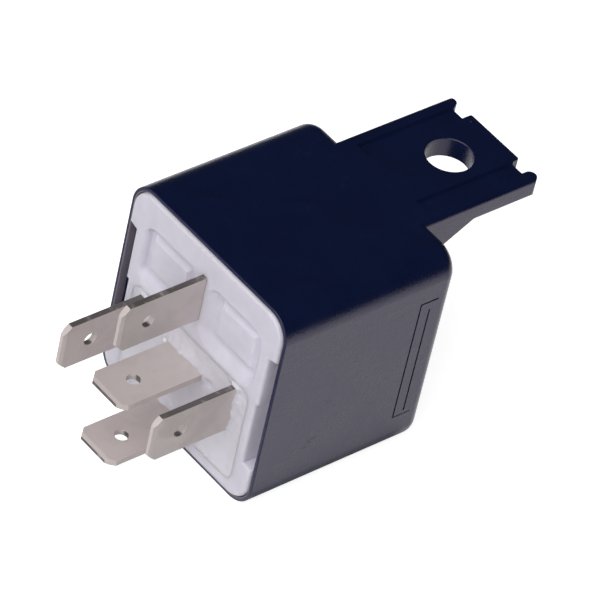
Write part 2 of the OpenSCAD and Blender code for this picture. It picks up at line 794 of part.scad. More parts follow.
module break_contact() {
    color([0.82, 0.81, 0.78]) bar_y(0, contact_z, contact_r, break_face_y, arm_y);
}

// ---- rivets ----

// Rivets that clamp the spring's leg to the yoke
module yoke_rivets() {
    color([0.70, 0.70, 0.70]) for (x = [-leg_rivet_x, leg_rivet_x]) {
        bar_z(x, leg_rivet_y, rivet_r, leg_z, hinge_z + spring_t + eps);
        bar_z(x, leg_rivet_y, rivet_head_r, hinge_z + spring_t, hinge_z + spring_t + rivet_head_h);
    }
}

// Rivets that hold the spring's leaf to the armature
module armature_rivets() {
    leaf_top = pivot_y + armature_t + spring_t;
    color([0.70, 0.70, 0.70]) opened() for (x = [-arm_rivet_x, arm_rivet_x]) {
        bar_y(x, arm_rivet_z, rivet_r, pivot_y, leaf_top + eps);
        bar_y(x, arm_rivet_z, rivet_head_r, leaf_top, leaf_top + rivet_head_h);
    }
}

// Rivet that joins the common terminal's flange to the yoke's foot
module terminal_rivet() {
    flange_y = seat_y - blade_t;
    color([0.70, 0.70, 0.70]) {
        bar_y(terminal_rivet_x, row_common, rivet_r, flange_y - eps, foot_y);
        bar_y(terminal_rivet_x, row_common, rivet_head_r, flange_y - rivet_head_h, flange_y);
    }
}

cover();
base();
sealing_resin();
vent_plug();
terminal_30();
terminal_85();
terminal_86();
terminal_87();
terminal_87a();
yoke();
core();
bobbin();
winding();
coil_lead_85();
coil_lead_86();
solder_joints();
armature();
contact_spring();
moving_contact();
make_contact();
break_contact();
yoke_rivets();
armature_rivets();
terminal_rivet();
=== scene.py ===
"""Looks of the plug-in relay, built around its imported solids. Lengths are in millimetres,
apart from those of the lamps and the camera, which are in metres.
"""

import json
from math import cos, exp, hypot, pi, radians, sin

import bmesh
import bpy
from bpy.props import FloatProperty, FloatVectorProperty, PointerProperty
from bpy.types import NodeSocket, Operator, Panel, PropertyGroup
from mathutils import Matrix, Vector, noise


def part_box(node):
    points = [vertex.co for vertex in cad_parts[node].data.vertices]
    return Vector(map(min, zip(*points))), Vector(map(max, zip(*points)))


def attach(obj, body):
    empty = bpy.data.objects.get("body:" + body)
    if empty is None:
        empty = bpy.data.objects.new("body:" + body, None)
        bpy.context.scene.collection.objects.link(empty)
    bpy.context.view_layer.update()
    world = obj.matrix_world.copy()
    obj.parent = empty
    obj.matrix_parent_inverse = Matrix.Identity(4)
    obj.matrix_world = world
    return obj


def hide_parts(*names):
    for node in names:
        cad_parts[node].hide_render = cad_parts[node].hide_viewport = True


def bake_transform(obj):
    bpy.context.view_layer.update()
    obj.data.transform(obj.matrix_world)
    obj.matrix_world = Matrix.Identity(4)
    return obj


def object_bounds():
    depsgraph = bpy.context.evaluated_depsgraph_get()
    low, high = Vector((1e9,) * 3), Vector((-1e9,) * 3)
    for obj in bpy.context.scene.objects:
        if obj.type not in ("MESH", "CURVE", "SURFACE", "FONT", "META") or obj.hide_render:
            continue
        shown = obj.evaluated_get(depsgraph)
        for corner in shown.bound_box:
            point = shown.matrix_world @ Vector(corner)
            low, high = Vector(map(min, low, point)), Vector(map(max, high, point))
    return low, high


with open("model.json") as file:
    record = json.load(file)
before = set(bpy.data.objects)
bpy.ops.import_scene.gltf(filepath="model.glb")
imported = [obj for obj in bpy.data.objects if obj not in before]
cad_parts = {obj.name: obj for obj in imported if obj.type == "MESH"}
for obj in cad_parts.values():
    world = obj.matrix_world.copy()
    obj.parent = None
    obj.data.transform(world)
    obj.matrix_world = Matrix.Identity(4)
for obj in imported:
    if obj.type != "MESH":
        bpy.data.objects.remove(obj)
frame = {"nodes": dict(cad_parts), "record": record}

bl_info = {
    "name": "Plug-in relay",
    "version": (1, 0, 0),
    "blender": (4, 5, 0),
    "location": "3D View > Sidebar > Relay",
    "description": "Builds the pieces, finishes and studio of a plug-in relay with a bracket",
    "category": "Object",
}

MM = 0.001
CAD_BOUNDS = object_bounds()


def cad_box(node):
    """Lowest and highest corner of a solid, in millimetres."""
    low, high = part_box(node)
    return low / MM, high / MM


def bracket_hole():
    """Middle, radius and length of the fixing hole, in millimetres."""
    mount = next(m for m in frame["record"]["mounts"] if m["name"] == "bracket_hole")
    place = [value / MM for value in mount["pos_m"]]
    return place, mount["dims"]["r_mm"], mount["dims"]["length_mm"]


# === Settings


def length(name, description, default, **more):
    return FloatProperty(name=name, description=description, default=default, precision=3, **more)


def colour(name, what, default):
    return FloatVectorProperty(
        name=name, description=f"Colour of {what}", default=default,
        subtype="COLOR", size=3, min=0, max=1,
    )


class RelayHousingSettings(PropertyGroup):
    """Sizes of the moulded cover and base, in millimetres"""

    long_edge: length("Long edges", "Radius of the cover's four long edges", 3.4)
    end_edge: length("End edges", "Radius of the edges round the closed end", 1.6)
    wall: length("Wall", "Wall of the cover's four sides", 0.9)
    end_wall: length("End wall", "Wall of the cover's closed end", 1.2)
    body_depth: length("Body depth", "Depth from the terminal face to the closed end", 25.5)
    rim_lip: length("Rim lip", "Thickness of the cover's rim outside its rebate", 0.55)
    rebate: length("Rebate", "Depth of the rebate that takes the base's front edge", 1.2)
    rim_edge: length("Rim edge", "Rounding of the cover's open rim", 0.14)
    rail_edge: length("Rail edge", "Rounding of the bracket tab's long edges", 0.6)
    tab_edge: length("Tab edge", "Rounding of the bracket tab's edges", 0.22)
    line_depth: length("Line depth", "Depth of the frame lines in the sides", 0.13)
    line_width: length("Line width", "Width of the frame lines in the sides", 0.22)
    base_edge: length("Base edge", "Rounding of the base's front edge", 0.42)
    slot_depth: length("Slot depth", "Length of the slots in the base's two sides", 2.4)
    base_corner: length("Base corners", "Corner radius of the base", 3.0)


class RelayFinishSettings(PropertyGroup):
    """Colours of the finishes"""

    cover: colour("Cover", "the cover's plastic", (0.0026, 0.0080, 0.041))
    # Lighter copy of the cover plastic for its inner faces, as painted sheen
    inside: colour("Cover inside", "the cover's dull inner faces", (0.18, 0.158, 0.195))
    base: colour("Base", "the base's plastic", (0.66, 0.637, 0.72))
    resin: colour("Resin", "the sealing resin", (0.69, 0.666, 0.735))
    tin: colour("Tin", "the tinned terminals", (0.63, 0.56, 0.543))
    iron: colour("Iron", "the plated iron", (0.56, 0.55, 0.52))
    bobbin: colour("Bobbin", "the bobbin's plastic", (0.62, 0.58, 0.48))
    copper: colour("Copper", "the enamelled winding wire", (0.62, 0.20, 0.07))
    solder: colour("Solder", "the solder", (0.66, 0.67, 0.69))
    bronze: colour("Bronze", "the contact spring", (0.66, 0.42, 0.17))
    silver: colour("Silver", "the contacts", (0.80, 0.78, 0.73))
    rivet: colour("Rivet", "the rivets", (0.58, 0.57, 0.55))


class RelayStageSettings(PropertyGroup):
    """Camera, floor and lights"""

    azimuth: length("Azimuth", "Camera's turn about the vertical", radians(42.3), subtype="ANGLE")
    elevation: length("Elevation", "Camera's height angle", radians(41.1), subtype="ANGLE")
    roll: length("Roll", "Camera's turn about its own axis", radians(-13.4), subtype="ANGLE")
    distance: length(
        "Distance", "Camera's distance from its aim, in metres", 0.5935, subtype="DISTANCE"
    )
    lens: length("Lens", "Focal length on a 36 mm sensor", 312.0)
    aim: FloatVectorProperty(
        name="Aim", description="Aim, from the middle of the part's box, in millimetres",
        default=(0.25, 0.7, 0.4), size=3,
    )
    floor: colour("Floor", "the floor", (0.72, 0.72, 0.73))
    paper_near: length("Paper near", "Distance up to which the paper is fully lit", 85.0)
    paper_far: length("Paper far", "Distance from which the paper is dark", 260.0)
    ambient: length("Ambient", "Strength of the light from all round", 0.05)


# === Mesh making


def arc(middle_a, middle_b, radius, start, end, steps):
    """Points of an arc in a plane; angles in degrees."""
    points = []
    for i in range(steps + 1):
        angle = radians(start + (end - start) * i / steps)
        points.append((middle_a + radius * cos(angle), middle_b + radius * sin(angle)))
    return points


def round_rect(x0, z0, x1, z1, radius, steps=8):
    """Rectangle with rounded corners as a list of points, anticlockwise from the +X side."""
    points = []
    corners = ((x1, z1, -1, -1), (x0, z1, 1, -1), (x0, z0, 1, 1), (x1, z0, -1, 1))
    for k, (x, z, in_x, in_z) in enumerate(corners):
        points += arc(x + in_x * radius, z + in_z * radius, radius, 90 * k, 90 * k + 90, steps)
    return points


def rect(a0, b0, a1, b1):
    return [(a0, b0), (a1, b0), (a1, b1), (a0, b1)]


def circle(middle, radius, steps):
    return arc(*middle, radius, 0, 360 - 360 / steps, steps - 1)


def middle_of(node):
    """Middle of a solid in X and Z."""
    low, high = cad_box(node)
    return (low.x + high.x) / 2, (low.z + high.z) / 2


PLACES = {
    "x": lambda a, b, h: (h, a, b),
    "y": lambda a, b, h: (a, h, b),
    "z": lambda a, b, h: (a, b, h),
}


def add_object(name, data):
    made = bpy.data.objects.new(name, data)
    bpy.context.scene.collection.objects.link(made)
    return made


def store(bm, name):
    """Turns a bmesh in millimetres into an object in metres."""
    bmesh.ops.recalc_face_normals(bm, faces=bm.faces)
    bmesh.ops.scale(bm, vec=(MM, MM, MM), verts=bm.verts)
    mesh = bpy.data.meshes.new(name)
    bm.to_mesh(mesh)
    bm.free()
    return add_object(name, mesh)


def add_loft(bm, rows, closed=False):
    """Skin through rows of points of equal count; it has a face over each end, or its ends meet."""
    rows = [[bm.verts.new(point) for point in row] for row in rows]
    count = len(rows[0])
    following = rows[1:] + rows[:1] if closed else rows[1:]
    for low, high in zip(rows, following):
        for i in range(count):
            j = (i + 1) % count
            bm.faces.new((low[i], low[j], high[j], high[i]))
    if not closed:
        bm.faces.new(rows[0])
        bm.faces.new(list(reversed(rows[-1])))


def loft(name, rows, closed=False):
    bm = bmesh.new()
    add_loft(bm, rows, closed)
    return store(bm, name)


def prism(name, outline, low, high, axis, edge=0.0, steps=2, ends=(True, True)):
    """Outline drawn out along an axis, with the edges of its two ends rounded."""
    bm = bmesh.new()
    rows = [[PLACES[axis](a, b, h) for a, b in outline] for h in (low, high)]
    add_loft(bm, rows)
    if edge:
        index = "xyz".index(axis)
        levels = [h for h, wanted in zip((low, high), ends) if wanted]
        rims = [
            e for e in bm.edges
            if any(all(abs(v.co[index] - level) < 1e-6 for v in e.verts) for level in levels)
        ]
        bmesh.ops.bevel(
            bm, geom=rims, offset=edge, segments=steps + 1, profile=0.5,
            affect="EDGES", clamp_overlap=True,
        )
    return store(bm, name)


def round_bar(name, profile, middle, axis, steps=48, closed=False):
    """Body of revolution from a profile of (radius, height) points."""
    rows = [
        [PLACES[axis](a, b, height) for a, b in circle(middle, radius, steps)]
        for radius, height in profile
    ]
    return loft(name, rows, closed)


def add_modifier(piece, name, kind, **settings):
    modifier = piece.modifiers.new(name, kind)
    for key, value in settings.items():
        setattr(modifier, key, value)


def combine(target, other, operation="DIFFERENCE"):
    """Joins or cuts a piece with another, which is used up."""
    add_modifier(target, "combine", "BOOLEAN", operation=operation, solver="EXACT", object=other)
    graph = bpy.context.evaluated_depsgraph_get()
    mesh = bpy.data.meshes.new_from_object(target.evaluated_get(graph))
    if not mesh.polygons:
        raise RuntimeError(f"nothing is left of {target.name}")
    target.modifiers.clear()
    old, target.data = target.data, mesh
    bpy.data.meshes.remove(old)
    used = other.data
    bpy.data.objects.remove(other)
    bpy.data.meshes.remove(used)


SHARP = 32  # angle in degrees above which an edge stays hard


def shade(piece, angle):
    """Smooth shading with hard edges above an angle, and even shading over flat faces."""
    bm = bmesh.new()
    bm.from_mesh(piece.data)
    bmesh.ops.remove_doubles(bm, verts=bm.verts, dist=1e-7)
    limit = radians(angle)
    for face in bm.faces:
        face.smooth = True
    for edge in bm.edges:
        edge.smooth = edge.is_manifold and edge.calc_face_angle(0.0) < limit
    bm.to_mesh(piece.data)
    bm.free()
    add_modifier(piece, "even shading", "WEIGHTED_NORMAL", keep_sharp=True)


def dress(piece, body, slot, finish, *nodes, angle=SHARP):
    """Gives a piece its shading, its finish and its place in the part."""
    shade(piece, angle)
    piece.data.materials.clear()
    piece.data.materials.append(FINISHES[finish])
    if body:
        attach(piece, body)
    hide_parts(*nodes)


def finish_nodes(finish, edge, *nodes):
    """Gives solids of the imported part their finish, with their sharp edges slightly rounded."""
    for node in nodes:
        piece = frame["nodes"][node]
        piece.data.materials.clear()
        piece.data.materials.append(FINISHES[finish])
        if edge:
            add_modifier(piece, "weld", "WELD", merge_threshold=1e-6)
            add_modifier(
                piece, "flat faces", "DECIMATE", decimate_type="DISSOLVE", angle_limit=radians(0.6)
            )
            add_modifier(
                piece, "soft edges", "BEVEL", width=edge * MM, segments=2, limit_method="ANGLE",
                angle_limit=radians(SHARP), use_clamp_overlap=True, harden_normals=True,
            )


# === Node groups


def add_node(tree, kind, values=None, **settings):
    """Adds a shader node; each value is a constant or the socket that feeds it."""
    made = tree.nodes.new("ShaderNode" + kind)
    for key, value in settings.items():
        setattr(made, key, value)
    for key, value in (values or {}).items():
        if isinstance(value, NodeSocket):
            tree.links.new(value, made.inputs[key])
        else:
            made.inputs[key].default_value = value
    return made


def maths(tree, operation, a, b=0.0, c=0.0, clamp=False):
    values = {0: a, 1: b, 2: c}
    return add_node(tree, "Math", values, operation=operation, use_clamp=clamp).outputs[0]


def times(tree, a, b, plus=None, clamp=False):
    """Product of a and b; plus is added to it."""
    if plus is None:
        return maths(tree, "MULTIPLY", a, b, clamp=clamp)
    return maths(tree, "MULTIPLY_ADD", a, b, plus, clamp)


def ramp(tree, value, low, high):
    """0 below low and 1 above high, with a smooth step between them."""
    values = {"Value": value, "From Min": low, "From Max": high}
    made = add_node(tree, "MapRange", values, interpolation_type="SMOOTHSTEP")
    return made.outputs["Result"]


def blend_colours(tree, mask, a, b, share=None):
    """Colour a, turning to b where the mask is 1, or to a share of b."""
    mask = times(tree, mask, share) if share else mask
    a, b = (side if isinstance(side, NodeSocket) else (*side, 1.0)[:4] for side in (a, b))
    return add_node(tree, "Mix", {0: mask, 6: a, 7: b}, data_type="RGBA").outputs[2]


def normal_along(tree, direction):
    """Share of the surface's normal that lies along a direction."""
    normal = add_node(tree, "NewGeometry").outputs["Normal"]
    values = {0: direction, 1: normal}
    return add_node(tree, "VectorMath", values, operation="DOT_PRODUCT").outputs["Value"]


def noise_at(tree, vector, size, detail=2.0, rough=0.5, warp=0.0):
    """Noise whose features are about one size across; size is a number or a socket."""
    scale = maths(tree, "DIVIDE", 1.0, size) if isinstance(size, NodeSocket) else 1.0 / size
    values = dict(Vector=vector, Scale=scale, Detail=detail, Roughness=rough, Distortion=warp)
    return add_node(tree, "TexNoise", values).outputs["Fac"]


def new_group(name, inputs, pattern):
    """Node group with named inputs, and an output for each value that the pattern returns."""
    group = bpy.data.node_groups.new(name, "ShaderNodeTree")
    for label, value in inputs.items():
        kind = "NodeSocketVector" if isinstance(value, tuple) else "NodeSocketFloat"
        socket = group.interface.new_socket(name=label, in_out="INPUT", socket_type=kind)
        socket.default_value = value
    entry = group.nodes.new("NodeGroupInput")
    place = add_node(group, "TexCoord").outputs["Object"]
    place = add_node(group, "VectorMath", {0: place, "Scale": 1 / MM}, operation="SCALE")
    results = pattern(group, entry.outputs, place.outputs[0])
    leave = group.nodes.new("NodeGroupOutput")
    for label, value in results.items():
        group.interface.new_socket(name=label, in_out="OUTPUT", socket_type="NodeSocketFloat")
        group.links.new(value, leave.inputs[label])
    return group


def grain_pattern(tree, given, place):
    """Fine texture of a moulded or plated surface, with slow changes of tone."""
    size = given["Grain Size"]
    fine = noise_at(tree, place, size, 3.0, 0.6)
    wide = noise_at(tree, place, times(tree, size, 5.0), 2.0)
    fleck = noise_at(tree, place, times(tree, size, 2.2), 1.0)
    return {
        "Height": times(tree, wide, 0.4, fine),
        "Tone": noise_at(tree, place, given["Patch Size"], 3.0, 0.55, 0.4),
        "Fleck": ramp(tree, fleck, 0.62, 0.72),
    }


def scuff_pattern(tree, given, place):
    """Thin scratches, stretched along one direction and broken into short runs."""
    mapping = {"Vector": place, "Rotation": given["Turn"], "Scale": given["Stretch"]}
    turned = add_node(tree, "Mapping", mapping).outputs[0]
    centred = maths(tree, "SUBTRACT", noise_at(tree, turned, 1.0, 2.0, 0.6), 0.5)
    ridge = maths(tree, "ABSOLUTE", centred)
    sharp = maths(tree, "SUBTRACT", 1.0, ramp(tree, ridge, 0.0, 0.035))
    broken = maths(tree, "ADD", noise_at(tree, place, 3.2, 2.0), given["Density"])
    mask = times(tree, sharp, ramp(tree, broken, 0.72, 0.86))
    return {"Mask": mask, "Height": times(tree, mask, -1.0)}


def dust_pattern(tree, given, place):
    """Specks of dust that lie on faces that look up."""
    scale = maths(tree, "DIVIDE", 1.0, given["Spacing"])
    cells = add_node(tree, "TexVoronoi", {"Vector": place, "Scale": scale}).outputs
    speck = maths(tree, "SUBTRACT", 1.0, ramp(tree, cells["Distance"], 0.02, 0.07))
    chance = add_node(tree, "SeparateColor", {"Color": cells["Color"]}).outputs[0]
    chosen = maths(tree, "LESS_THAN", chance, given["Amount"])
    normal = add_node(tree, "NewGeometry").outputs["Normal"]
    up = add_node(tree, "SeparateXYZ", {"Vector": normal}).outputs["Z"]
    return {"Mask": times(tree, speck, times(tree, chosen, ramp(tree, up, 0.2, 0.8)))}


def edge_pattern(tree, given, place):
    """Mask of the sharp edges, worn unevenly."""
    radius = times(tree, given["Width"], MM)
    rounded = add_node(tree, "Bevel", {"Radius": radius}, samples=6).outputs[0]
    match = normal_along(tree, rounded)
    wear_and_shade_mask = ramp(tree, maths(tree, "SUBTRACT", 1.0, match), 0.01, 0.16)
    uneven = ramp(tree, noise_at(tree, place, 0.9, 3.0, 0.6), 0.3, 0.62)
    return {"Mask": times(tree, times(tree, wear_and_shade_mask, uneven), given["Amount"], clamp=True)}


def axis_shade_pattern(tree, given, place):
    """Mask of the faces square to an axis, where painted shade darkens the faces that point that
    way.
    """
    square = ramp(tree, normal_along(tree, given["Axis"]), 0.75, 0.95)
    uneven = ramp(tree, noise_at(tree, place, 1.4, 2.0, 0.5), 0.1, 0.5)
    return {"Mask": times(tree, times(tree, square, uneven), given["Amount"])}


GROUPS = {}


def build_groups():
    scuff_inputs = {"Stretch": (6, 0.5, 6), "Density": 0.3, "Turn": (0, 0, 0)}
    for key, name, inputs, pattern in (
        ("grain", "Surface Grain", {"Grain Size": 0.12, "Patch Size": 4.0}, grain_pattern),
        ("scuffs", "Scuffs", scuff_inputs, scuff_pattern),
        ("dust", "Dust", {"Spacing": 1.6, "Amount": 0.5}, dust_pattern),
        ("edges", "Edge Wear", {"Width": 0.12, "Amount": 1.0}, edge_pattern),
        ("cut", "Cut Faces", {"Axis": (0, 0, 1), "Amount": 1.0}, axis_shade_pattern),
    ):
        GROUPS[key] = new_group(name, inputs, pattern)


def use_group(tree, name, values):
    return add_node(tree, "Group", values, node_tree=GROUPS[name]).outputs


# === Finishes


def new_finish(name, **values):
    """Material with one Principled shader; plain values are set on its own sockets."""
    material = bpy.data.materials.new(name)
    material.use_nodes = True
    tree = material.node_tree
    shader = tree.nodes["Principled BSDF"]
    for key, value in values.items():
        shader.inputs[key.replace("_", " ")].default_value = value
    return material, tree, shader.inputs


def set_bump(tree, sockets, height, depth):
    """Bump of a depth in millimetres."""
    bump = add_node(tree, "Bump", {"Height": height, "Distance": depth * MM})
    tree.links.new(bump.outputs[0], sockets["Normal"])


def tint(colour_value, factor):
    return tuple(min(1.0, part * factor) for part in colour_value)


def moulded_plastic(
    name, tone, grain, depth, rough, patch, contrast, dust=0.0, scuffs=0.0, **values
):
    """Moulded plastic with spark-eroded grain, flow tones, scuffs and dust."""
    material, tree, sockets = new_finish(name, **values)
    surface = use_group(tree, "grain", {"Grain Size": grain, "Patch Size": patch})
    marks = use_group(
        tree, "scuffs", {"Stretch": (2.2, 0.35, 2.2), "Density": scuffs, "Turn": (0.3, 0.2, 0.5)}
    )
    specks = use_group(tree, "dust", {"Spacing": 1.7, "Amount": dust})
    mixed = blend_colours(tree, surface["Tone"], tint(tone, 1 - contrast), tint(tone, 1 + contrast))
    scratch = tint([part + 0.012 for part in tone], 1.3)
    scuffed = blend_colours(tree, marks["Mask"], mixed, scratch, 0.25)
    dusted = blend_colours(tree, specks["Mask"], scuffed, (0.32, 0.31, 0.30), 0.5)
    tree.links.new(dusted, sockets["Base Color"])
    varied = times(tree, surface["Tone"], 0.14, rough - 0.07)
    flecked = times(tree, surface["Fleck"], 0.06, varied)
    tree.links.new(times(tree, marks["Mask"], 0.15, flecked), sockets["Roughness"])
    height = times(tree, marks["Height"], 0.5, surface["Height"])
    set_bump(tree, sockets, height, depth)
    return material


def plated_metal(
    name, tone, rough, grain, depth, stretch, scuffs, patch, stain, edge, metallic=1.0, cut=None
):
    """Bare or plated metal with drawn lines, tarnish patches, worn edges and painted shade on the
    faces that point along an axis.
    """
    material, tree, sockets = new_finish(name, Metallic=metallic)
    surface = use_group(tree, "grain", {"Grain Size": grain, "Patch Size": patch})
    marks = use_group(tree, "scuffs", {"Stretch": stretch, "Density": scuffs})
    worn = use_group(tree, "edges", {"Width": 0.10, "Amount": edge})
    patches = ramp(tree, surface["Tone"], 0.42, 0.62)
    base = blend_colours(tree, patches, tone, stain)
    scratched = blend_colours(tree, marks["Mask"], base, tint(tone, 1.18), 0.35)
    worn_and_shaded = blend_colours(tree, worn["Mask"], scratched, tint(tone, 0.62), 0.6)
    # Painted shade: faces that point along the axis are darkened to a tenth of the tone, standing
    # in for the dark reflection they catch
    if cut:
        wear_and_shade_mask = use_group(tree, "cut", {"Axis": cut, "Amount": 0.9})
        worn_and_shaded = blend_colours(tree, wear_and_shade_mask["Mask"], worn_and_shaded, tint(tone, 0.1))
    tree.links.new(worn_and_shaded, sockets["Base Color"])
    dulled = times(tree, patches, 0.16, rough)
    tree.links.new(times(tree, marks["Mask"], 0.10, dulled), sockets["Roughness"])
    height = times(tree, marks["Height"], 0.6, surface["Height"])
    set_bump(tree, sockets, height, depth)
    return material


def sealing_resin_finish(name, tone):
    """Poured resin: glossy, a little uneven, with tiny trapped bubbles."""
    material, tree, sockets = new_finish(
        name, Subsurface_Weight=0.6, Subsurface_Radius=(1, 1, 1), Subsurface_Scale=1.2 * MM
    )
    surface = use_group(tree, "grain", {"Grain Size": 0.9, "Patch Size": 3.5})
    mixed = blend_colours(tree, surface["Tone"], tint(tone, 0.95), tint(tone, 1.04))
    bubbles = blend_colours(tree, surface["Fleck"], mixed, tint(tone, 0.8), 0.12)
    tree.links.new(bubbles, sockets["Base Color"])
    tree.links.new(times(tree, surface["Tone"], 0.12, 0.12), sockets["Roughness"])
    set_bump(tree, sockets, surface["Height"], 0.03)
    return material


FINISHES = {}
# Directions of the faces that get painted shade: the ends of the flat blades and the upper edges of
# the upright ones
SHADED_FACE_AXES = {"tin flat": (0, -1, 0), "tin upright": (0, 0, 1)}
TIN = (0.40, 0.45, 0.003, (5.0, 0.45, 5.0), 0.05, 3.6, 0.94, 0.8)
# Finish and material; then roughness, grain size, bump depth, stretch and density of the scuffs,
# patch size, stain (a colour or a share of the tone) and edge wear
METALS = (
    ("tin flat", "tinned brass", *TIN),
    ("tin upright", "tinned brass upright", *TIN),
    ("iron", "plated iron", 0.34, 0.16, 0.006, (1.2, 1.2, 1.2), 0.15, 3.0, (0.50, 0.47, 0.38), 0.8),
    ("copper", "enamelled copper", 0.24, 0.2, 0.003, (6, 1, 1), 0.05, 2.0, 0.72, 0.3),
    ("solder", "solder", 0.22, 0.35, 0.01, (1, 1, 1), 0.0, 0.8, 0.8, 0.2),
    ("bronze", "spring bronze", 0.26, 0.18, 0.004, (6, 6, 0.5), 0.2, 2.5, 0.78, 0.8),
    ("silver", "contact silver", 0.18, 0.2, 0.004, (3, 3, 3), 0.12, 0.9, (0.55, 0.50, 0.42), 0.6),
    ("rivet", "rivet steel", 0.30, 0.15, 0.005, (3, 3, 3), 0.15, 1.0, 0.8, 0.8),
)


def build_finishes(tones):
    FINISHES["cover"] = moulded_plastic(
        "cover plastic", tones.cover, grain=0.30, depth=0.03, rough=0.28, patch=6.0, contrast=0.30,
        dust=0.03, scuffs=0.10, Specular_Tint=(0.95, 0.83, 1.0, 1.0), IOR=1.52,
    )
    # Lighter copy of the cover plastic, put on its inner faces as painted sheen
    FINISHES["cover inside"] = moulded_plastic(
        "cover plastic matt", tones.inside, grain=0.12, depth=0.012, rough=0.62, patch=4.0,
        contrast=0.2, IOR=1.52,
    )
    FINISHES["base"] = moulded_plastic(
        "base plastic", tones.base, grain=0.24, depth=0.012, rough=0.46, patch=2.6, contrast=0.10,
        scuffs=0.10, Subsurface_Weight=0.7, Subsurface_Radius=(1, 1, 1), Subsurface_Scale=1.6 * MM,
    )
    # Plug brightened to near white as painted highlight, so its dome shows as a bright dot
    FINISHES["vent"] = moulded_plastic(
        "vent plug plastic", (0.95, 0.95, 0.96), grain=0.2, depth=0.003, rough=0.2, patch=5.0,
        contrast=0.02,
    )
    FINISHES["bobbin"] = moulded_plastic(
        "bobbin plastic", tones.bobbin, grain=0.16, depth=0.006, rough=0.5, patch=3.0,
        contrast=0.07, scuffs=0.05,
    )
    FINISHES["resin"] = sealing_resin_finish("sealing resin", tones.resin)
    for key, label, *values, stain, edge in METALS:
        tone = getattr(tones, key.split()[0])
        if isinstance(stain, float):
            stain = tint(tone, stain)
        axis = SHADED_FACE_AXES.get(key)
        metallic = 0.12 if axis else 1.0  # the tin plate is dull
        FINISHES[key] = plated_metal(label, tone, *values, stain, edge, metallic, axis)


# === Pieces


def inset_rows(x0, z0, x1, z1, radius, profile, least=0.15, steps=6):
    """Rows of a rounded rectangle; the profile gives (-X, +X, -Z and +Z inset, depth)."""
    rows = []
    for left, right, low, high, y in profile:
        corner = max(radius - min(left, right, low, high), least)
        outline = round_rect(x0 + left, z0 + low, x1 - right, z1 - high, corner, steps)
        rows.append([(x, y, z) for x, z in outline])
    return rows


TAB_HALF = 8.1  # half the width of the bracket tab
RAIL = 1.65  # width of its rails


def tab_outline(high, body_depth):
    """Bracket tab seen from the bracket side, with its end notches and round rail tips."""
    notch, notch_depth, root_depth = 2.1, 1.1, 2.8
    foot, corner = 0.45, 0.3  # radii in the notches
    end = high.y
    notch_end = end - notch_depth
    tip = RAIL / 2
    inner = TAB_HALF - RAIL - notch
    right = [(TAB_HALF, body_depth - root_depth), (TAB_HALF, end - tip)]
    right += arc(TAB_HALF - tip, end - tip, tip, 0, 180, 8)[1:]
    right += arc(TAB_HALF - RAIL - foot, notch_end + foot, foot, 0, -90, 4)
    right += arc(inner + corner, notch_end + corner, corner, -90, -180, 3)
    right += arc(inner - corner, end - corner, corner, 0, 90, 3)
    return right + [(-x, y) for x, y in reversed(right)]


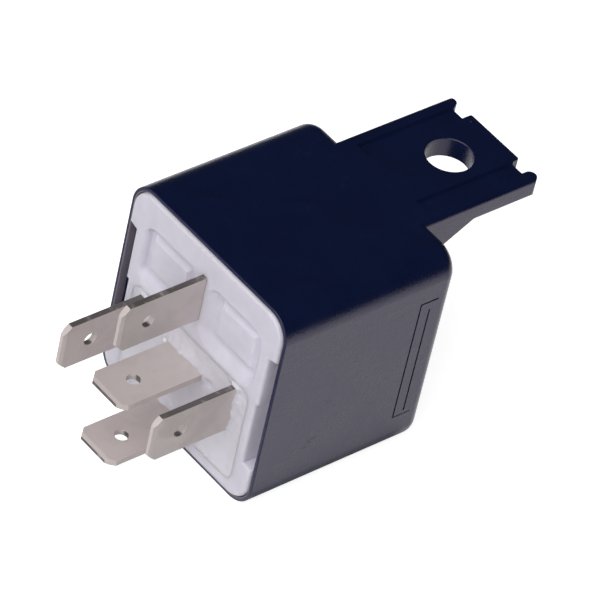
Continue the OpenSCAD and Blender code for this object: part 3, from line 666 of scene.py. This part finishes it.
class RELAY_OT_cover(Operator):
    """Build the moulded cover with its bracket tab"""

    bl_idname = "relay.cover"
    bl_label = "Cover"

    def execute(self, context):
        sizes = context.scene.relay_housing
        low, high = cad_box("cover")
        depth = sizes.body_depth
        cavity = depth - sizes.end_wall
        rebate = low.y + sizes.rebate
        wall, lip, rim, end = sizes.wall, sizes.rim_lip, sizes.rim_edge, sizes.end_edge
        inner = 0.4  # radius round the cavity's end
        profile = arc(wall + inner, cavity - inner, inner, 90, 180, 6)
        profile += [(wall, low.y + 12), (wall, low.y + 4), (wall, rebate), (lip, rebate)]
        profile += [(lip, low.y + rim + 0.2), *arc(lip - rim, low.y + rim, rim, 0, -90, 3)]
        profile += arc(rim, low.y + rim, rim, -90, -180, 3)
        profile += [(0, low.y + 4), (0, low.y + 12), *arc(end, depth - end, end, 180, 90, 10)]
        profile = [(inset, inset, inset, inset, y) for inset, y in profile]
        corners = (low.x, low.z, high.x, high.z)
        cover = loft("cover_shell", inset_rows(*corners, sizes.long_edge, profile, 0.3, 12))

        place, radius, thick = bracket_hole()
        under = high.z - thick
        tab = prism("tab", tab_outline(high, depth), under, high.z, "z", sizes.tab_edge, 3)
        section = round_rect(-TAB_HALF, under, TAB_HALF, high.z, sizes.rail_edge)
        combine(tab, prism("tab section", section, depth - 4, high.y + 1, "y"), "INTERSECT")
        mouth, bed, deep, over = 1.15, 0.85, 0.35, 0.1  # section of the grooves along the rails
        for side in (-1, 1):
            middle = side * (TAB_HALF - RAIL - 1.05)
            for level, sign in ((high.z, 1), (under, -1)):
                shape = [
                    (middle - mouth, level + over * sign), (middle - bed, level - deep * sign),
                    (middle + bed, level - deep * sign), (middle + mouth, level + over * sign),
                ]
                combine(tab, prism("groove", shape, depth + 1, high.y + 1, "y"))
        combine(cover, tab, "UNION")
        drop, reach, rise, sunk = 3.8, 7.93, 0.7, 0.6  # gussets, which end inside tab and cover
        for side in (-1, 1):
            outer = side * TAB_HALF
            shape = [
                (depth - sunk, under + rise), (depth + reach, under + rise),
                (depth, under - drop), (depth - sunk, under - drop),
            ]
            a, b = sorted((outer, outer - side * RAIL))
            combine(cover, prism("gusset", shape, a, b, "x", 0.18, 2), "UNION")
        chamfer, over = 0.08, 0.05
        hole = [
            (radius + chamfer + over, under - over), (radius, under + chamfer),
            (radius, high.z - chamfer), (radius + chamfer + over, high.z + over),
        ]
        combine(cover, round_bar("hole", hole, place[:2], "z", 72))

        top, width = 8.9, sizes.line_width
        front = depth - 4.9
        inner_line = front + 1.5
        back = depth - end - 0.6
        for side in (-1, 1):
            a, b = sorted((side * (high.x - sizes.line_depth), side * (high.x + 1)))
            for line in (
                (front, -top, front + width, top),
                (inner_line, -top + width + 0.4, inner_line + width, top - 1.3),
                (front, top - width, back, top),
                (front, -top, back, -top + width),
            ):
                combine(cover, prism("line", rect(*line), a, b, "x"))
        dress(cover, "housing", "cover_plastic", "cover", "cover")
        # Inner faces take the lighter copy of the cover plastic, as painted sheen
        cover.data.materials.append(FINISHES["cover inside"])
        for face in cover.data.polygons:
            x, y, z = face.center
            inward = face.normal.x * x + face.normal.z * z < 0
            within = abs(x) < high.x * MM and abs(z) < high.z * MM
            if inward and within and 0 < y < cavity * MM:
                face.material_index = 1
        return {"FINISHED"}


SLOT_X, STEP_X = 12.2, 11.85  # bottom of the base's side slots in their upper and lower part
SLOT_TOP, SLOT_STEP, SLOT_LOW = 7.9, 0.9, -8.2  # levels of the slots


def base_outline(low, high, inset, radius, shrink, slotted):
    """Outline of the base in X and Z; shrink draws in the slots in its two sides too."""
    edge = high.x - inset
    corner = round_rect(low.x + inset, low.z + inset, edge, high.z - inset, radius - inset, 10)
    half = len(corner) // 2
    slot, step = (SLOT_X - shrink, STEP_X - shrink) if slotted else (edge, edge)
    top, foot = SLOT_TOP + shrink, SLOT_LOW - shrink
    bevel = 0.4 * (edge - SLOT_X) / (high.x - SLOT_X)
    side = [
        (edge, top + bevel), (slot, top), (slot, SLOT_STEP), (step, SLOT_STEP - 0.05),
        (step, foot), (edge, foot - 0.05),
    ]
    mirrored = [(-x, z) for x, z in side]
    return corner[:half] + mirrored + corner[half:] + list(reversed(side))


POCKET = (2.1, 3.2, 10.3, 10.2, 0.7)  # corners and corner radius of the +X pocket
POCKET_ROWS = (  # from the pocket's mouth to its bed, and from there up to the pad's top
    (-1.7, -0.75, -1.8, -0.35, -0.05), (-1.55, -0.6, -1.62, -0.22, 0.0),
    (-1.35, -0.4, -1.4, -0.08, 0.08), (-0.9, -0.1, -0.9, 0.0, 0.34),
    (-0.35, 0.02, -0.3, 0.05, 0.66), (-0.1, 0.12, -0.05, 0.12, 0.82), (0.25, 0.35, 0.25, 0.3, 0.9),
    (0.7, 0.7, 0.7, 1.0, 0.9), (0.85, 0.85, 0.85, 1.2, 0.84), (1.0, 1.0, 0.98, 1.42, 0.64),
    (1.15, 1.15, 1.1, 1.6, 0.47), (1.5, 1.5, 1.45, 1.95, 0.4),
)
WELL = (-10.6, -12.25, 10.6, 1.2, 1.2)  # corners and corner radius of the sealing well


class RELAY_OT_base(Operator):
    """Build the moulded base with its pockets, pads, side slots and sealing well"""

    bl_idname = "relay.base"
    bl_label = "Base"

    def execute(self, context):
        sizes = context.scene.relay_housing
        low, high = cad_box("base")
        thick = 3.2
        flange = 0.25 + sizes.rebate  # thickness of the front plate that sits in the rebate
        edge = sizes.base_edge
        turns = [radians(a) for a in (0, 20, 40, 60, 90)]
        profile = [(edge - edge * sin(a), edge - edge * cos(a), 1.0, True) for a in turns]
        inset = sizes.wall - sizes.rim_lip
        profile += [(0.0, flange, 1.0, True), (inset, flange, 0.0, True)]
        profile += [(inset, sizes.slot_depth, 0.0, slotted) for slotted in (True, False)]
        profile.append((inset, thick, 0.0, False))
        rows = []
        for inset, y, share, slotted in profile:
            outline = base_outline(low, high, inset, sizes.base_corner, inset * share, slotted)
            rows.append([(x, y, z) for x, z in outline])
        base = loft("base_moulding", rows)

        for mirror in (1, -1):
            rows = [
                [(x * mirror, y, z) for x, y, z in row] for row in inset_rows(*POCKET, POCKET_ROWS)
            ]
            combine(base, loft("pocket", rows))

        well = [(-0.02,) * 5, (0, 0, 0, 0, 0.02), (0, 0, 0, 0, 0.85), (0.15, 0.15, 0.15, 0.15, 1.0)]
        combine(base, loft("well", inset_rows(*WELL, well)))
        for a, b in ((4.8, 6.8), (-6.8, -4.8)):
            section = rect(a, 1.2, b, 9.5)
            seat = prism("seat", section, thick - 0.5, high.y, "y", 0.1, 1, (False, True))
            combine(base, seat, "UNION")
        for section in blade_sections(0.05):
            combine(base, prism("slot", rect(*section), -1, thick + 1, "y"))
        bore = [(0.6, -1), (0.6, thick + 1)]
        combine(base, round_bar("vent", bore, middle_of("vent_plug"), "y"))
        dress(base, "housing", "base_plastic", "base", "base")
        return {"FINISHED"}


def blade_sections(gap):
    """Where the five blades pass the base, as rectangles in X and Z grown by a gap."""
    long, thin = 3.15 + gap, 0.4 + gap  # half a blade's width and thickness
    sections = []
    for node in ("terminal_30", "terminal_85", "terminal_86"):
        low, high = cad_box(node)
        x = 0.0 if node == "terminal_30" else (low.x + high.x) / 2
        z = (low.z + high.z) / 2
        sections.append((x - thin, z - long, x + thin, z + long))
    for z in (-2.1, -10.8):  # levels of terminal_87a and terminal_87
        sections.append((-long, z - thin, long, z + thin))
    return sections


def box_distance(x, z, section):
    """Distance from a point to a rectangle; 0 inside it."""
    x0, z0, x1, z1 = section
    return hypot(max(x0 - x, 0, x - x1), max(z0 - z, 0, z - z1))


class RELAY_OT_resin(Operator):
    """Build the poured sealing resin, which climbs a little at the blades and walls"""

    bl_idname = "relay.resin"
    bl_label = "Sealing resin"

    def execute(self, context):
        sections = blade_sections(0.0)
        gap, step, floor_y = 0.02, 0.2, 0.98
        x0, z0, x1, z1 = WELL[0] + gap, WELL[1] + gap, WELL[2] - gap, WELL[3] - gap
        radius = WELL[4] - gap
        columns = round((x1 - x0) / step)
        rows = round((z1 - z0) / step)
        pits = ((3.95, -2.5, 0.42), (6.35, -7.8, 0.38))

        def inside(x, z):
            """Distance from the well's wall."""
            dx = max(x0 + radius - x, 0, x - x1 + radius)
            dz = max(z0 + radius - z, 0, z - z1 + radius)
            if dx and dz:
                return radius - hypot(dx, dz)
            return min(x - x0, x1 - x, z - z0, z1 - z)

        def surface(x, z):
            """Level of the resin, which is lumpy near the blades."""
            wall = max(inside(x, z), 0)
            blade = min(box_distance(x, z, section) for section in sections)
            near = exp(-((blade / 1.3) ** 2))
            lumps = noise.noise(Vector((x * 0.5, z * 0.5, 3.1))) * 0.07
            lumps += noise.noise(Vector((x * 1.1, z * 1.1, 7.7))) * (0.03 + 0.22 * near)
            lumps += noise.noise(Vector((x * 2.6, z * 2.6, 1.2))) * 0.16 * near
            level = 0.16 - 0.15 * exp(-wall / 0.6) - 0.55 * exp(-blade / 0.35)
            for px, pz, size in pits:
                level += 0.6 * exp(-((hypot(x - px, z - pz) / size) ** 4))
            return min(level + lumps * min(1, wall / 0.6), floor_y - 0.05)

        def pulled(x, z):
            """Grid point moved in to the rounded corner."""
            cx = min(max(x, x0 + radius), x1 - radius)
            cz = min(max(z, z0 + radius), z1 - radius)
            dx, dz = x - cx, z - cz
            if not (dx and dz):
                return x, z
            scale = max(abs(dx), abs(dz)) / hypot(dx, dz)
            return cx + dx * scale, cz + dz * scale

        bm = bmesh.new()
        grid = {}
        for j in range(rows + 1):
            for i in range(columns + 1):
                x, z = pulled(x0 + (x1 - x0) * i / columns, z0 + (z1 - z0) * j / rows)
                grid[0, j, i] = bm.verts.new((x, surface(x, z), z))
                grid[1, j, i] = bm.verts.new((x, floor_y, z))
        for k in (0, 1):
            for j in range(rows):
                for i in range(columns):
                    corners = ((j, i), (j, i + 1), (j + 1, i + 1), (j + 1, i))
                    bm.faces.new([grid[k, q, p] for q, p in corners])
        edge = [(j, 0) for j in range(rows)] + [(rows, i) for i in range(columns)]
        edge += [(j, columns) for j in range(rows, 0, -1)] + [(0, i) for i in range(columns, 0, -1)]
        for a, b in zip(edge, edge[1:] + edge[:1]):
            bm.faces.new((grid[0, *a], grid[0, *b], grid[1, *b], grid[1, *a]))
        resin = store(bm, "sealing_resin_pour")
        dress(resin, "housing", "resin", "resin", "sealing_resin", angle=60)
        return {"FINISHED"}


class RELAY_OT_vent(Operator):
    """Build the plug of the vent hole"""

    bl_idname = "relay.vent"
    bl_label = "Vent plug"

    def execute(self, context):
        low, high = cad_box("vent_plug")
        radius = (high.x - low.x) / 2
        profile = [(radius * 0.06, 0.0), *arc(0, radius, radius, -78, 0, 6)]
        profile += [(radius, high.y - 0.1), (radius - 0.1, high.y)]
        plug = round_bar("vent_plug_head", profile, middle_of("vent_plug"), "y", 32)
        dress(plug, "housing", "vent", "vent", "vent_plug")
        return {"FINISHED"}


class RELAY_OT_terminals(Operator):
    """Finish the five terminals"""

    bl_idname = "relay.terminals"
    bl_label = "Terminals"

    def execute(self, context):
        finish_nodes("tin upright", 0.07, "terminal_30", "terminal_85", "terminal_86")
        finish_nodes("tin flat", 0.07, "terminal_87", "terminal_87a")
        return {"FINISHED"}


class RELAY_OT_magnet(Operator):
    """Finish the yoke, core and armature"""

    bl_idname = "relay.magnet"
    bl_label = "Magnet"

    def execute(self, context):
        finish_nodes("iron", 0.1, "yoke", "core", "armature")
        return {"FINISHED"}


class RELAY_OT_bobbin(Operator):
    """Build the bobbin with rounded flange rims"""

    bl_idname = "relay.bobbin"
    bl_label = "Bobbin"

    def execute(self, context):
        low, high = cad_box("bobbin")
        flange = (high.x - low.x) / 2
        tube, bore, thick, edge = 3.88, 3.28, 0.8, 0.2
        upper = high.y - thick

        def rim(start):
            """Rounded rim of the flange that starts at a level."""
            near = arc(flange - edge, start + edge, edge, -90, 0, 4)[1:]
            far = arc(flange - edge, start + thick - edge, edge, 0, 90, 4)
            return [(flange - edge, start), *near, *far]

        profile = [(bore, low.y), *rim(low.y), (tube, low.y + thick)]
        profile += [(tube, upper), *rim(upper), (bore, high.y)]
        bobbin = round_bar("bobbin_moulding", profile, middle_of("bobbin"), "y", 64, closed=True)
        dress(bobbin, "housing", "bobbin_plastic", "bobbin", "bobbin")
        return {"FINISHED"}


class RELAY_OT_winding(Operator):
    """Build the coil winding with its turns of wire"""

    bl_idname = "relay.winding"
    bl_label = "Winding"

    def execute(self, context):
        low, high = cad_box("winding")
        outer, inner = (high.x - low.x) / 2, 3.9
        middle = middle_of("winding")
        turns, per_turn, steps = 46, 6, 64
        pitch = (high.y - low.y) / turns
        groove = pitch * 0.35
        rows = []
        for i in range(turns * per_turn + 1):
            row = []
            for k in range(steps):
                phase = 2 * pi * (i / per_turn + k / steps)
                radius = outer - groove * (0.5 - 0.5 * cos(phase))
                angle = 2 * pi * k / steps
                x, z = middle[0] + radius * cos(angle), middle[1] + radius * sin(angle)
                row.append((x, low.y + pitch * i / per_turn, z))
            rows.append(row)
        for height in (high.y, low.y):
            rows.append([(x, height, z) for x, z in circle(middle, inner, steps)])
        winding = loft("winding_turns", rows, closed=True)
        dress(winding, "housing", "copper_wire", "copper", "winding", angle=50)
        finish_nodes("copper", 0, "coil_lead_85", "coil_lead_86")
        return {"FINISHED"}


class RELAY_OT_solder(Operator):
    """Finish the solder joints on the coil posts"""

    bl_idname = "relay.solder"
    bl_label = "Solder"

    def execute(self, context):
        finish_nodes("solder", 0, "solder_joints")
        return {"FINISHED"}


class RELAY_OT_contacts(Operator):
    """Finish the contacts and rivets"""

    bl_idname = "relay.contacts"
    bl_label = "Contacts and rivets"

    def execute(self, context):
        finish_nodes("silver", 0.05, "moving_contact", "make_contact", "break_contact")
        finish_nodes("rivet", 0.08, "yoke_rivets", "armature_rivets", "terminal_rivet")
        return {"FINISHED"}


class RELAY_OT_spring(Operator):
    """Build the contact spring, with its leaf turned to the end of the armature joint's range"""

    bl_idname = "relay.spring"
    bl_label = "Contact spring"

    def execute(self, context):
        low, high = cad_box("contact_spring")
        joint = frame["record"]["behaviour"]["joints"][0]
        pivot = Vector(joint["pos_m"]) / MM
        opened = Matrix.Rotation(radians(joint["range_deg"][1]), 4, "X")
        opened = Matrix.Translation(pivot) @ opened @ Matrix.Translation(-pivot)
        thick, armature_thick, clamp, reach = 0.25, 1.3, 6.4, 2.4
        wide, narrow, chamfer = high.x, 1.9, 0.6
        leaf = pivot.y + armature_thick + thick / 2
        leg = pivot.z + thick / 2
        clamp_end = low.y + clamp
        bend_end = pivot.z - 0.4

        def leaf_point(z):
            return opened @ Vector((0, leaf, z))

        path = [(Vector((0, low.y + clamp * i / 6, leg)), wide) for i in range(6)]
        a, b = Vector((0, clamp_end, leg)), Vector((0, clamp_end + reach, leg))
        c, d = leaf_point(pivot.z + reach), leaf_point(bend_end)
        for i in range(21):
            t = i / 20
            u = 1 - t
            path.append((a * u**3 + b * 3 * u * u * t + c * 3 * u * t * t + d * t**3, wide))
        path += [(leaf_point(z), width) for z, width in (
            (6.0, wide), (-1.1, wide), (-5.6, narrow), (-10.7, narrow), (-11.3, narrow - chamfer),
        )]
        rows = []
        for k, (point, width) in enumerate(path):
            before, after = path[max(k - 1, 0)][0], path[min(k + 1, len(path) - 1)][0]
            along = (after - before).normalized()
            out = Vector((0, -along.z, along.y))
            section = round_rect(-width, -thick / 2, width, thick / 2, 0.07, 2)
            rows.append([(x, point.y + out.y * h, point.z + out.z * h) for x, h in section])
        spring = loft("contact_spring_leaf", rows)
        for side in (-1, 1):
            seat = [(0.82, leg - 1), (0.82, leg + 1)]
            middle = (side * 2.8, clamp_end - clamp / 2)
            combine(spring, round_bar("rivet hole", seat, middle, "z", 32))
        for x, z, radius in ((-2.6, 6.9, 0.82), (2.6, 6.9, 0.82), (0, -9.2, 0.77)):
            seat = [(radius, leaf - 1), (radius, leaf + 1)]
            bore = round_bar("rivet hole", seat, (x, z), "y", 32)
            turned = Matrix.Scale(MM, 4) @ opened @ Matrix.Scale(1 / MM, 4)
            bore.data.transform(turned)
            combine(spring, bore)
        dress(spring, None, "spring_bronze", "bronze", "contact_spring")
        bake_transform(spring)
        return {"FINISHED"}


# === Stage


def area_light(name, direction, distance, size, power, target):
    light = bpy.data.lights.new(name, "AREA")
    light.shape = "DISK"
    light.size = size
    light.energy = power
    lamp = add_object(name, light)
    towards = Vector(direction).normalized()
    lamp.location = target + towards * distance
    lamp.rotation_euler = towards.to_track_quat("Z", "Y").to_euler()


def empty_tree(owner):
    owner.use_nodes = True
    owner.node_tree.nodes.clear()
    return owner.node_tree


FLOOR_HALF = 3000  # half the floor's width
LAMP_DISTANCE = 0.9  # in metres, from the relay's middle
# Name, direction from the relay's middle, diameter in metres and power in watts
LAMPS = (
    ("key softbox", (0.2, -0.95, 1.15), 1.1, 7.4),
    ("front softbox", (0.15, -1.0, 0.1), 0.7, 0.8),
    ("fill softbox", (-1.0, -0.8, 0.5), 0.8, 1.0),
    ("side softbox", (1.0, -1.5, 0.15), 0.5, 1.7),
)


class RELAY_OT_stage(Operator):
    """Set up the floor, soft lights and camera"""

    bl_idname = "relay.stage"
    bl_label = "Stage"

    def execute(self, context):
        stage = context.scene.relay_stage
        low, high = (Vector(corner) for corner in CAD_BOUNDS)
        middle = (low + high) / 2

        bm = bmesh.new()
        bmesh.ops.create_grid(bm, x_segments=1, y_segments=1, size=FLOOR_HALF)
        for vert in bm.verts:
            vert.co.z = low.z / MM
        floor = store(bm, "studio_floor")
        material = bpy.data.materials.new("floor paper")
        tree = empty_tree(material)
        paths = add_node(tree, "LightPath").outputs
        seen = maths(tree, "MAXIMUM", paths["Is Camera Ray"], paths["Is Glossy Ray"])
        seen = maths(tree, "MAXIMUM", seen, paths["Is Transmission Ray"])
        paper = add_node(tree, "BsdfDiffuse", {"Color": (*stage.floor, 1.0)})
        place = add_node(tree, "TexCoord").outputs["Object"]
        body_middle = (0.0, (low.y + high.y) / 2 + 12 * MM, 0.0)
        values = {0: place, 1: body_middle}
        away = add_node(tree, "VectorMath", values, operation="DISTANCE").outputs["Value"]
        dark = ramp(tree, away, stage.paper_near * MM, stage.paper_far * MM)
        near = maths(tree, "SUBTRACT", 1.0, dark)
        parts = add_node(tree, "SeparateXYZ", {"Vector": place}).outputs
        # Painted shadow: no glow under the body and little in front of the terminal face, where low
        # edges mirror it
        cover_low, cover_high = (Vector(corner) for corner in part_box("cover"))
        off_x = maths(tree, "ABSOLUTE", parts["X"])
        past_x = ramp(tree, off_x, cover_high.x + 0.3 * MM, cover_high.x + 3.2 * MM)
        depth_middle = (cover_low.y + context.scene.relay_housing.body_depth * MM) / 2
        off_y = maths(tree, "ABSOLUTE", maths(tree, "SUBTRACT", parts["Y"], depth_middle))
        past_y = ramp(tree, off_y, depth_middle - 3 * MM, depth_middle + 1 * MM)
        dim = 0.15
        behind = ramp(tree, parts["Y"], -10 * MM, 3 * MM)
        behind = times(tree, behind, 1 - dim, dim)
        beside = times(tree, maths(tree, "MAXIMUM", past_x, past_y), behind)
        lit = maths(tree, "MAXIMUM", times(tree, near, beside), paths["Is Camera Ray"])
        lit = times(tree, seen, lit)
        glow = add_node(tree, "Emission", {"Strength": times(tree, lit, 0.85)})
        both = add_node(tree, "AddShader", {0: paper.outputs[0], 1: glow.outputs[0]})
        add_node(tree, "OutputMaterial", {"Surface": both.outputs[0]})
        floor.data.materials.append(material)

        world = bpy.data.worlds.new("studio")
        context.scene.world = world
        tree = empty_tree(world)
        paths = add_node(tree, "LightPath").outputs
        ambient = stage.ambient
        strength = times(tree, paths["Is Camera Ray"], 1 - ambient, ambient)
        sky = add_node(tree, "Background", {"Strength": strength})
        add_node(tree, "OutputWorld", {"Surface": sky.outputs[0]})

        for name, direction, size, power in LAMPS:
            area_light(name, direction, LAMP_DISTANCE, size, power, middle)

        camera = bpy.data.cameras.new("camera")
        camera.lens = stage.lens
        camera.clip_start = 0.01
        camera.clip_end = 20
        holder = add_object("camera", camera)
        turn, rise, roll = stage.azimuth, stage.elevation, stage.roll
        back = Vector((sin(turn) * cos(rise), -cos(turn) * cos(rise), sin(rise)))
        level = Vector((cos(turn), sin(turn), 0))
        above = back.cross(level)
        up = above * cos(roll) + level * sin(roll)
        right = up.cross(back)
        place = Matrix((right, up, back)).transposed().to_4x4()
        place.translation = middle + Vector(stage.aim) * MM + back * stage.distance
        holder.matrix_world = place
        context.scene.camera = holder
        context.scene.view_settings.view_transform = "Standard"
        return {"FINISHED"}


# === Add-on

OPERATORS = (
    RELAY_OT_cover, RELAY_OT_base, RELAY_OT_resin, RELAY_OT_vent, RELAY_OT_terminals,
    RELAY_OT_magnet, RELAY_OT_bobbin, RELAY_OT_winding, RELAY_OT_solder,
    RELAY_OT_contacts, RELAY_OT_spring, RELAY_OT_stage,
)
SETTINGS = {
    "relay_housing": RelayHousingSettings,
    "relay_finish": RelayFinishSettings,
    "relay_stage": RelayStageSettings,
}


class RELAY_PT_panel(Panel):
    """Settings and build steps of the relay"""

    bl_label = "Relay"
    bl_idname = "RELAY_PT_panel"
    bl_space_type = "VIEW_3D"
    bl_region_type = "UI"
    bl_category = "Relay"

    def draw(self, context):
        layout = self.layout
        for group_name, group in SETTINGS.items():
            box = layout.box()
            settings = getattr(context.scene, group_name)
            for prop_name in group.__annotations__:
                box.prop(settings, prop_name)
        for operator in OPERATORS:
            layout.operator(operator.bl_idname)


CLASSES = (*SETTINGS.values(), *OPERATORS, RELAY_PT_panel)


def register():
    for cls in CLASSES:
        bpy.utils.register_class(cls)
    for name, group in SETTINGS.items():
        setattr(bpy.types.Scene, name, PointerProperty(type=group))


def unregister():
    for name in SETTINGS:
        delattr(bpy.types.Scene, name)
    for cls in reversed(CLASSES):
        bpy.utils.unregister_class(cls)


def main():
    register()
    build_groups()
    build_finishes(bpy.context.scene.relay_finish)
    for operator in OPERATORS:
        step = getattr(bpy.ops.relay, operator.bl_idname.split(".")[1])
        step()


if __name__ == "__main__":
    main()
